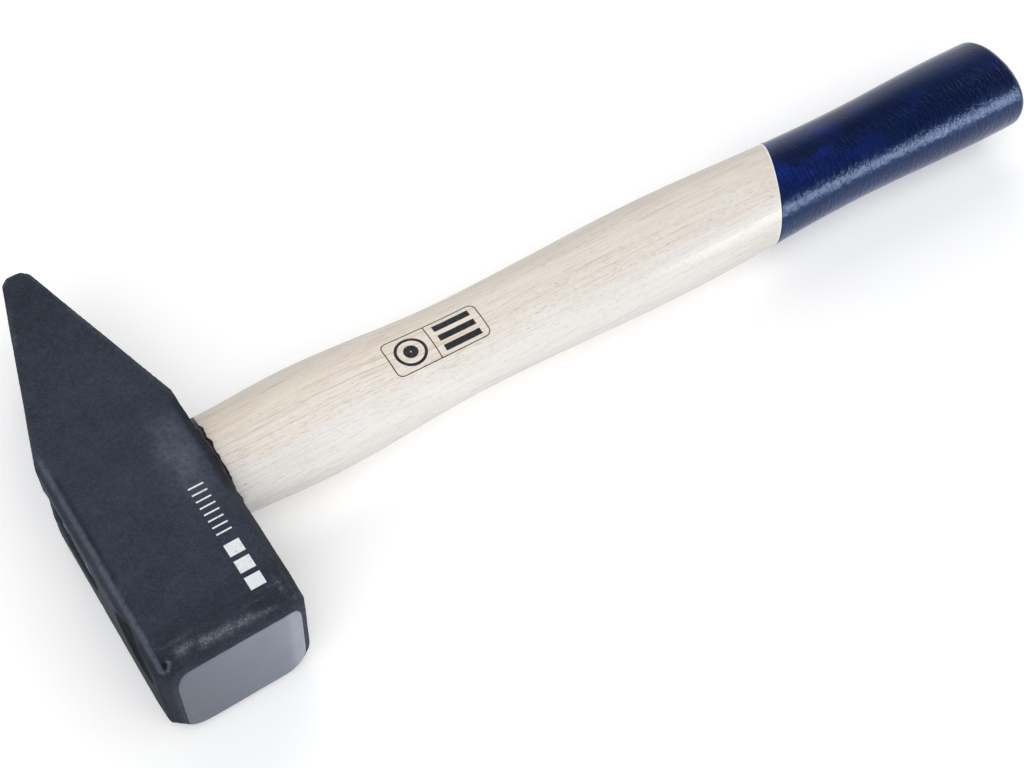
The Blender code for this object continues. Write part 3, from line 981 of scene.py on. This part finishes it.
def make_steel_wedge(number, side, look):
    """A steel wedge whose driven end is burred and dented by the hammer that set it."""
    start = TENON_END_X - STEEL_WEDGE_PROUD
    wedge = tapered_block(
        f"driven_wedge_{number}", start, STEEL_WEDGE_LENGTH, STEEL_WEDGE_THICK, STEEL_WEDGE_TIP,
        STEEL_WEDGE_WIDTH, side * STEEL_WEDGE_SPREAD, False, 0.0, [look],
    )
    shape = bmesh.new()
    shape.from_mesh(wedge.data)
    bmesh.ops.bevel(
        shape, geom=shape.edges[:], offset=0.35 * MM, segments=3, profile=0.6, affect="EDGES"
    )
    bmesh.ops.subdivide_edges(shape, edges=shape.edges[:], cuts=5, use_grid_fill=True)
    shape.to_mesh(wedge.data)
    shape.free()
    points = read_points(wedge.data)
    top = smooth_step(points[:, 0], start + 1.6 * MM, start)
    middle_y = side * STEEL_WEDGE_SPREAD
    burr = 1.0 + 0.06 * top * (1 + noise_field(points, 2.2 * MM, 21 + number))
    points[:, 1] = middle_y + (points[:, 1] - middle_y) * burr
    points[:, 0] += top * (noise_field(points, 2.6 * MM, 31 + number) * 0.16 + 0.12) * MM
    write_points(wedge.data, points)
    wedge.data.shade_smooth()
    place(wedge, HANDLE_MATRIX)
    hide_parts(f"steel_wedge_{number}")
    return wedge


def ring_noise(angles, rate, seed):
    """Smooth noise round a closed ring."""
    points = [(math.cos(angle) * rate, math.sin(angle) * rate, seed) for angle in angles]
    return np.array([noise.noise(Vector(point)) for point in points])


def make_resin_bead(look):
    """The lumpy bead round the handle, against the head."""
    around = 260
    across = 14
    angles = np.arange(around) * 2 * np.pi / around
    lumps = ring_noise(angles, 5.5, 3.7)
    radius = (1.15 + 0.45 * lumps + 0.22 * ring_noise(angles, 19.0, 8.2)) * MM
    reach = HANDLE_WIDTHS[0][1] - 0.9 * MM
    y, z = oval(angles, reach, reach * OVAL_RATIO)
    length = np.hypot(y, z)
    rows = []
    for step in range(across):
        turn = 2 * math.pi * step / across
        out = radius * math.cos(turn)
        x = SHOULDER_X - 1.0 * MM + (lumps * 0.25 * MM) + radius * 0.95 * math.sin(turn)
        x = np.maximum(x, HEAD_HALF - 0.2 * MM)
        rows.append(np.stack([x, y * (1 + out / length), z * (1 + out / length)], axis=1))
    points = np.stack(rows, axis=1).reshape(-1, 3)
    faces = []
    for index in range(around):
        here = index * across
        beside = (index + 1) % around * across
        for low in range(across):
            high = (low + 1) % across
            faces.append((here + low, beside + low, beside + high, here + high))
    bead = add_mesh("resin_bead", points, faces, [look])
    turn_faces_out(bead.data)
    place(bead, HANDLE_MATRIX)
    return bead


# ---------- printed marks


def strip(path, width, closed=False):
    """A flat band of a width along a path of (u, v) points: its points and quads."""
    path = [Vector(point) for point in path]
    count = len(path)
    points, faces = [], []
    for index, point in enumerate(path):
        before = path[(index - 1) % count] if closed or index else point
        after = path[(index + 1) % count] if closed or index < count - 1 else point
        along = (after - before).normalized()
        side = Vector((-along.y, along.x)) * width / 2
        points += [point + side, point - side]
    for index in range(count if closed else count - 1):
        low, high = 2 * index, 2 * ((index + 1) % count)
        faces.append((low, low + 1, high + 1, high))
    return points, faces


def dense(corners, step, closed=False):
    """The corners of a path, with points between them no further apart than step."""
    path = []
    ends = list(zip(corners, [*corners[1:], corners[0]] if closed else corners[1:]))
    for start, end in ends:
        start, end = Vector(start), Vector(end)
        pieces = max(1, math.ceil((end - start).length / step))
        path += [start.lerp(end, share / pieces) for share in range(pieces)]
    if not closed:
        path.append(Vector(corners[-1]))
    return path


def rounded_rectangle(left, right, low, high, radius, step):
    path = []
    corners = [(right, high, 0), (left, high, 90), (left, low, 180), (right, low, 270)]
    for x, y, start in corners:
        middle_x = x - math.copysign(radius, x - (left + right) / 2)
        middle_y = y - math.copysign(radius, y - (low + high) / 2)
        for turn in np.linspace(start, start + 90, 7):
            angle = math.radians(turn)
            path.append((middle_x + radius * math.cos(angle), middle_y + radius * math.sin(angle)))
    return dense(path, step, closed=True)


def circle(middle_u, middle_v, radius, count=56):
    turns = [2 * math.pi * step / count for step in range(count)]
    return [(middle_u + radius * math.cos(t), middle_v + radius * math.sin(t)) for t in turns]


def block(left, right, low, high, step):
    """A filled rectangle, as rows of quads."""
    columns = max(1, math.ceil((right - left) / step))
    rows = max(1, math.ceil((high - low) / step))
    points, faces = [], []
    for row in range(rows + 1):
        for column in range(columns + 1):
            points.append(
                Vector((left + (right - left) * column / columns, low + (high - low) * row / rows))
            )
    for row in range(rows):
        for column in range(columns):
            at = row * (columns + 1) + column
            faces.append((at, at + 1, at + columns + 2, at + columns + 1))
    return points, faces


def print_mark(name, parts, to_surface, thickness, look):
    """Lays flat (u, v) parts on a surface as a thin raised film."""
    points, faces = [], []
    for flat, quads in parts:
        first = len(points)
        points += [to_surface(u, v) for u, v in flat]
        faces += [tuple(first + index for index in quad) for quad in quads]
    shape = bmesh.new()
    made = [shape.verts.new(point) for point, _ in points]
    outward = {vert: normal for vert, (_, normal) in zip(made, points)}
    for face in faces:
        shape.faces.new([made[index] for index in face])
    shape.normal_update()
    for face in shape.faces:
        if face.normal.dot(outward[face.verts[0]]) < 0:
            face.normal_flip()
    top = shape.faces[:]
    sides = bmesh.ops.extrude_face_region(shape, geom=top)
    raised = [item for item in sides["geom"] if isinstance(item, bmesh.types.BMVert)]
    for vert in raised:
        vert.co += vert.normal * thickness
    mark = add_shape(name, shape, [look], smooth=False)
    place(mark)
    return mark


def surface_of(obj):
    """Casts onto an object's own mesh, in the row frame."""
    graph = bpy.context.evaluated_depsgraph_get()
    shape = bmesh.new()
    shape.from_mesh(obj.evaluated_get(graph).data)
    shape.transform(obj.matrix_world)
    tree = BVHTree.FromBMesh(shape)
    shape.free()
    return tree


def cheek_mapper(tree):
    """Maps u = y and v = x on the upper cheek."""

    def to_surface(u, v):
        above = Vector((v, u, CHEEK_Z + 20 * MM))
        hit, normal, _, _ = tree.ray_cast(above, Vector((0, 0, -1)))
        return hit - normal * PRINT_SINK, normal

    return to_surface


def grip_mapper(tree):
    """Maps u = x along the handle and v = arc from its upper middle, in its own frame."""

    def to_surface(u, v):
        middle = Vector((u, 0.0, PRINT_AXIS_Z))
        angle = v / PRINT_ARC / MM
        direction = Vector((0.0, math.sin(angle), math.cos(angle)))
        start = HANDLE_MATRIX @ (middle + direction * PRINT_REACH)
        turn = HANDLE_MATRIX.to_3x3()
        hit, normal, _, _ = tree.ray_cast(start, turn @ -direction)
        return hit - normal * PRINT_SINK, normal

    return to_surface


def make_cheek_mark(tree, look):
    """A plain white pattern of ticks and blocks, with no letters."""
    low = 11.6 * MM
    high = 16.8 * MM
    parts = []
    for index in range(8):
        y = (-17.0 - 2.6 * index) * MM
        parts.append(strip(dense([(y, low), (y, high)], 0.7 * MM), 0.55 * MM))
    for index in range(3):
        start = (-44.0 - 6.4 * index) * MM
        parts.append(block(start, start + 4.6 * MM, low, high, 0.8 * MM))
    return print_mark("cheek_mark", parts, cheek_mapper(tree), 0.05 * MM, look)


def make_grip_mark(tree, look):
    """A plain stamp with no letters: two framed cells, one with a ring, one with bars."""
    step = 0.8 * MM
    line = 0.38 * MM
    left, right, low, high = 92.5 * MM, 129.5 * MM, -8.6 * MM, 6.6 * MM
    divider = 109.5 * MM
    middle = (101.0 * MM, -1.0 * MM)
    frame_path = rounded_rectangle(left, right, low, high, 2.4 * MM, step)
    parts = [
        strip(frame_path, line, closed=True),
        strip(dense([(divider, low), (divider, high)], step), line),
        strip(circle(*middle, 5.4 * MM), 1.1 * MM, closed=True),
        strip(circle(*middle, 1.5 * MM, 28), 2.4 * MM, closed=True),
    ]
    for index in range(3):
        at = (-5.6 + 4.6 * index) * MM
        parts.append(block(112.2 * MM, 126.6 * MM, at - 1.3 * MM, at + 1.3 * MM, step))
    return print_mark("grip_mark", parts, grip_mapper(tree), 0.04 * MM, look)


# ---------- light and camera


def make_floor(look):
    """A wide floor, a hair below the hammer so that their faces don't meet."""
    half = 40.0
    points = [(-half, -half, 0), (half, -half, 0), (half, half, 0), (-half, half, 0)]
    floor = add_mesh("floor", points, [(0, 1, 2, 3)], [look])
    floor.location.z = -0.05 * MM


def make_world():
    """A pale studio, brightest near the horizon and dim overhead."""
    world = bpy.data.worlds.new("studio")
    bpy.context.scene.world = world
    world.use_nodes = True
    tree = world.node_tree
    direction = node(tree, "TexCoord").outputs["Generated"]
    height = node(tree, "SeparateXYZ", {0: direction}).outputs[2]
    overhead = grade(tree, height, 0.15, 0.75)
    color = mix(tree, overhead, (1.0, 1.0, 1.0), (0.05, 0.055, 0.065))
    feed(tree, tree.nodes["Background"].inputs["Color"], color)
    tree.nodes["Background"].inputs["Strength"].default_value = 1.0


def add_softbox(name, target, direction, distance, size, radiance, in_gloss=True):
    """A square area light that looks at target from a direction."""
    light = bpy.data.lights.new(name, "AREA")
    light.shape = "SQUARE"
    light.size = size
    light.energy = radiance * math.pi * size * size
    obj = bpy.data.objects.new(name, light)
    bpy.context.scene.collection.objects.link(obj)
    away = Vector(direction).normalized()
    obj.location = Vector(target) + away * distance
    obj.rotation_euler = away.to_track_quat("Z", "Y").to_euler()
    obj.visible_glossy = in_gloss
    return obj


def make_lights():
    """One light that shows only in gloss, and three soft ones that don't show in gloss."""
    head = (0.1, 0.0, 0.0)
    grip = (0.25, -0.01, 0.03)
    streak = add_softbox("streak", grip, (0.59, -0.68, 0.45), 1.3, 0.50, 12.0)
    streak.visible_diffuse = False
    add_softbox("key", grip, (0.25, -0.45, 1.00), 1.6, 1.00, 1.25, False)
    add_softbox("fill", head, (-0.35, -0.45, 0.95), 1.9, 1.8, 2.1, False)
    add_softbox("back", head, (0.25, 0.75, 0.80), 1.9, 1.6, 1.4, False)


def make_camera():
    camera = bpy.data.cameras.new("camera")
    camera.lens = CAMERA_LENS
    camera.sensor_width = 36.0
    camera.clip_start = 0.01
    obj = bpy.data.objects.new("camera", camera)
    bpy.context.scene.collection.objects.link(obj)
    obj.location = CAMERA_PLACE
    obj.rotation_euler = [math.radians(angle) for angle in CAMERA_TURN]
    bpy.context.scene.camera = obj


def main():
    bpy.context.scene.view_settings.view_transform = "Standard"
    make_camera()
    make_world()
    make_lights()
    make_floor(make_floor_look())
    head = make_head(make_paint())
    tenon_end = make_end_grain("tenon_end", (0.22, 0.15, 0.10), (0.12, 0.08, 0.05), 0.55)
    wedge_wood = make_end_grain("wedge_wood", (0.30, 0.20, 0.12), (0.18, 0.11, 0.07), 0.45)
    handle = make_handle([make_wood(), make_lacquer(), tenon_end, make_lacquer_edge()])
    NODES["wooden_wedge"].data.materials.clear()
    NODES["wooden_wedge"].data.materials.append(wedge_wood)
    steel = make_wedge_steel()
    for number, side in ((1, 1), (2, -1)):
        make_steel_wedge(number, side, steel)
    make_resin_bead(make_resin())
    bpy.context.view_layer.update()
    white_ink = make_print("white_ink", (0.80, 0.82, 0.84), (0.50, 0.52, 0.55))
    make_cheek_mark(surface_of(head), white_ink)
    black_ink = make_print("black_ink", (0.020, 0.021, 0.024), (0.075, 0.072, 0.070))
    make_grip_mark(surface_of(handle), black_ink)


main()
